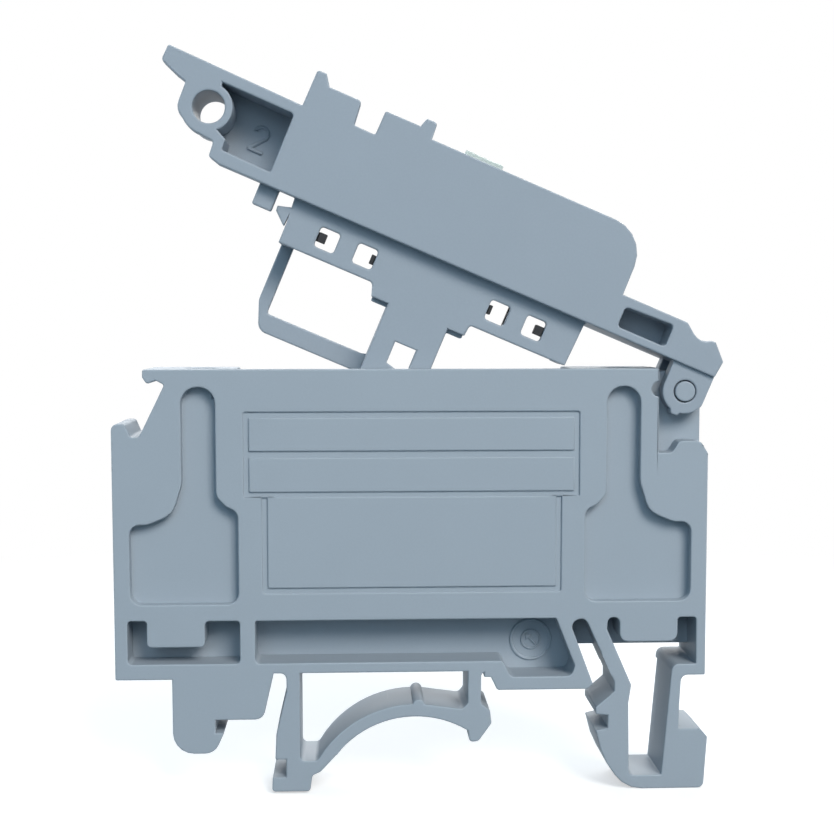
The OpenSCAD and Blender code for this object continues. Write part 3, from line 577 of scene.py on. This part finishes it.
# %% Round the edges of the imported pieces
edge_radius = {"housing": 0.12, "fuse_lever": 0.14, "indicator_lens": 0.12,
               "indicator_board": 0.04, "indicator_led": 0.05, "indicator_resistor": 0.05,
               "contact_fork_left": 0.05, "contact_fork_right": 0.05,
               "fork_rivet_left": 0.06, "fork_rivet_right": 0.06,
               "current_bar_left": 0.08, "current_bar_right": 0.08,
               "clamp_cage_left": 0.10, "clamp_cage_right": 0.10,
               "fuse_clip_left": 0.05, "fuse_clip_right": 0.05, "fuse_glass": 0.05,
               "indicator_spring_left": 0.03, "indicator_spring_right": 0.03}
cell_size = {"housing": 5, "clamp_cage_left": 1.5, "clamp_cage_right": 1.5}
for node, radius in edge_radius.items():
    form = packed_form(node, cell_size.get(node))
    soften(form, radius)
    make_piece("finished_" + node, form, slot_of[node], body_of[node], node)
print("pieces with rounded edges:", len(edge_radius))

# %% [markdown]
# ## Turned pieces
#
# The screws, the fuse caps and the fuse wire are round, so each is a small profile turned about
# an axis. A thread is the same turn with a little climb at each step. These profiles could be
# cut from cylinders with booleans, but a turned profile keeps its rings even and its edges
# clean.

# %% Helpers for turned pieces


def turned_form(profile, place, steps=48):
    """A line of (radius, height) points in millimetres, turned about the Z axis of place."""
    form = bmesh.new()
    points = [form.verts.new(Vector((radius, 0, height)) * MM) for radius, height in profile]
    edges = [form.edges.new(pair) for pair in zip(points, points[1:])]
    bmesh.ops.spin(form, geom=points + edges, cent=(0, 0, 0), axis=(0, 0, 1), dvec=(0, 0, 0),
                   angle=math.tau, steps=steps, use_merge=True)
    bmesh.ops.remove_doubles(form, verts=form.verts, dist=0.0005 * MM)
    bmesh.ops.recalc_face_normals(form, faces=form.faces)
    bmesh.ops.transform(form, matrix=place, verts=form.verts)
    return form


def thread_form(core, crest, lead, low, high, place, steps=24):
    """A thread ridge from low to high, in millimetres, turned about the Z axis of place."""
    root_share, crest_share = 0.42, 0.07
    form = bmesh.new()
    section = [(core, -root_share), (crest, -crest_share), (crest, crest_share),
               (core, root_share)]
    points = [form.verts.new(Vector((radius, 0, low + share * lead)) * MM)
              for radius, share in section]
    ridge = form.faces.new(points)
    turns = (high - low) / lead
    bmesh.ops.spin(form, geom=points + list(ridge.edges) + [ridge], cent=(0, 0, 0),
                   axis=(0, 0, 1), dvec=(0, 0, lead / steps * MM), angle=math.tau * turns,
                   steps=round(turns * steps))
    bmesh.ops.recalc_face_normals(form, faces=form.faces)
    bmesh.ops.transform(form, matrix=place, verts=form.verts)
    return form


# %% [markdown]
# ## Clamp screws
#
# A clamp screw has a slotted head and a fine thread that draws its cage up. The shank of the
# packed screw is plain and as thick as the thread. A bump in the material could show a thread,
# but its outline would stay straight, and the open back shows it from the side. So the shank is
# drawn in to the thread's core, and a ridge is wound around it.

# %% Wind the threads
screw_places = {"left": (-18.8, 0.2), "right": (18.8, 0.2)}
shank_radius, shank_top = 1.22, 20.95
core_radius, crest_radius, lead = 1.18, 1.47, 0.5
thread_low, thread_high = 16.7, 20.8
for side, (screw_x, screw_y) in screw_places.items():
    node = "clamp_screw_" + side
    axis = Vector((screw_x, screw_y, 0)) * MM
    form = packed_form(node)
    for vert in form.verts:
        out = (vert.co - axis) * Vector((1, 1, 0))
        if vert.co.z < shank_top * MM and out.length > shank_radius * MM:
            vert.co += out.normalized() * (shank_radius * MM - out.length)
    soften(form, 0.06)
    make_piece("finished_" + node, form, "screw_steel", "screw_" + side, node)
    thread = thread_form(core_radius, crest_radius, lead, thread_low, thread_high,
                         Matrix.Translation(axis))
    make_piece("thread_" + side, thread, "screw_steel", "screw_" + side)
print("turns of thread on each screw:", round((thread_high - thread_low) / lead, 1))

# %% [markdown]
# ## The cartridge fuse
#
# Each cap is a drawn metal cup with a rolled rim, a groove that grips the glass and a dimple in
# its end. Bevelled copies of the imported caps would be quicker, but they have none of these, so
# each cap is turned from half of its outline. The wire hangs in a faint bow from cap to cap: a
# small circle, turned twelve degrees about a centre far above it, with its ends closed. The
# fuse leans with the lever, so its place starts at the hinge pin and takes the lever's angle.

# %% Turn the fuse caps
hinge = next(joint for joint in record["behaviour"]["joints"] if joint["name"] == "lever_hinge")
lever_angle = math.radians(-hinge["range_deg"][0])
lever_place = Matrix.Translation(hinge["pos_m"]) @ Matrix.Rotation(lever_angle, 4, "Y")
fuse_place = lever_place @ Matrix.Translation(Vector((-24.5, 0.2, 5.6)) * MM)
cap_profile = [(0, 9.88), (0.55, 9.88), (0.85, 9.94), (1.0, 10), (2.25, 10), (2.45, 9.93),
               (2.57, 9.78), (2.6, 9.6), (2.6, 5.75), (2.55, 5.62), (2.52, 5.5), (2.55, 5.38),
               (2.6, 5.25), (2.6, 5.1), (2.57, 5.02), (2.52, 5), (2.47, 5.04), (2.47, 9.6),
               (0, 9.6)]
for side, turn in (("left", -90), ("right", 90)):
    node = "fuse_cap_" + side
    cap_place = fuse_place @ Matrix.Rotation(math.radians(turn), 4, "Y")
    cap = turned_form(cap_profile, cap_place, steps=64)
    make_piece("finished_" + node, cap, "cap_metal", "fuse", node)
print("lever in the photograph's pose:", round(math.degrees(lever_angle), 1), "degrees open")

# %% Bow the fuse wire
wire_sides, wire_radius, wire_reach, bow_centre = 12, 0.125, 9.6, 92.4
wire_start = (Matrix.Translation((-wire_reach * MM, 0, 0))
              @ Matrix.Rotation(math.radians(90), 4, "Y"))
wire = bmesh.new()
bmesh.ops.create_circle(wire, segments=wire_sides, radius=wire_radius * MM, matrix=wire_start)
bmesh.ops.spin(wire, geom=wire.verts[:] + wire.edges[:], cent=(0, 0, bow_centre * MM),
               axis=(0, 1, 0), dvec=(0, 0, 0), angle=-2 * math.asin(wire_reach / bow_centre),
               steps=40)
bmesh.ops.holes_fill(wire, edges=wire.edges, sides=wire_sides)
bmesh.ops.transform(wire, matrix=fuse_place, verts=wire.verts)
bmesh.ops.recalc_face_normals(wire, faces=wire.faces)
make_piece("finished_fuse_wire", wire, "contact_metal", "fuse", "fuse_wire")
print("fuse wire:", 2 * wire_radius, "mm thick")

# %% [markdown]
# ## Marks of the mould
#
# An injection mould pushes the part out with round pins, and each leaves a faint ring on the
# hidden side. The closed face is the show side, so the rings lie on the floor of the lever's
# bay, seen through the open back. A bump could draw them, but they are turned like the other
# round pieces, only two hundredths of a millimetre high, so that they catch the light from any
# side.

# %% Ejector marks in the bay
bay_floor = -2.9
mark_columns, mark_rows = (-3.0, 3.0), (16.6, 23.2)
ring_profile = [(0, 0.005), (0.84, 0.005), (0.88, 0.02), (0.98, 0.02), (1.02, 0), (0, 0)]
facing_back = Matrix.Rotation(math.radians(-90), 4, "X")
for number, (mark_z, mark_x) in enumerate(itertools.product(mark_rows, mark_columns)):
    mark_place = Matrix.Translation(Vector((mark_x, bay_floor, mark_z)) * MM) @ facing_back
    ring = turned_form(ring_profile, mark_place)
    make_piece(f"ejector_mark_{number}", ring, "body_plastic", "body")
print("ejector marks:", len(mark_columns) * len(mark_rows))
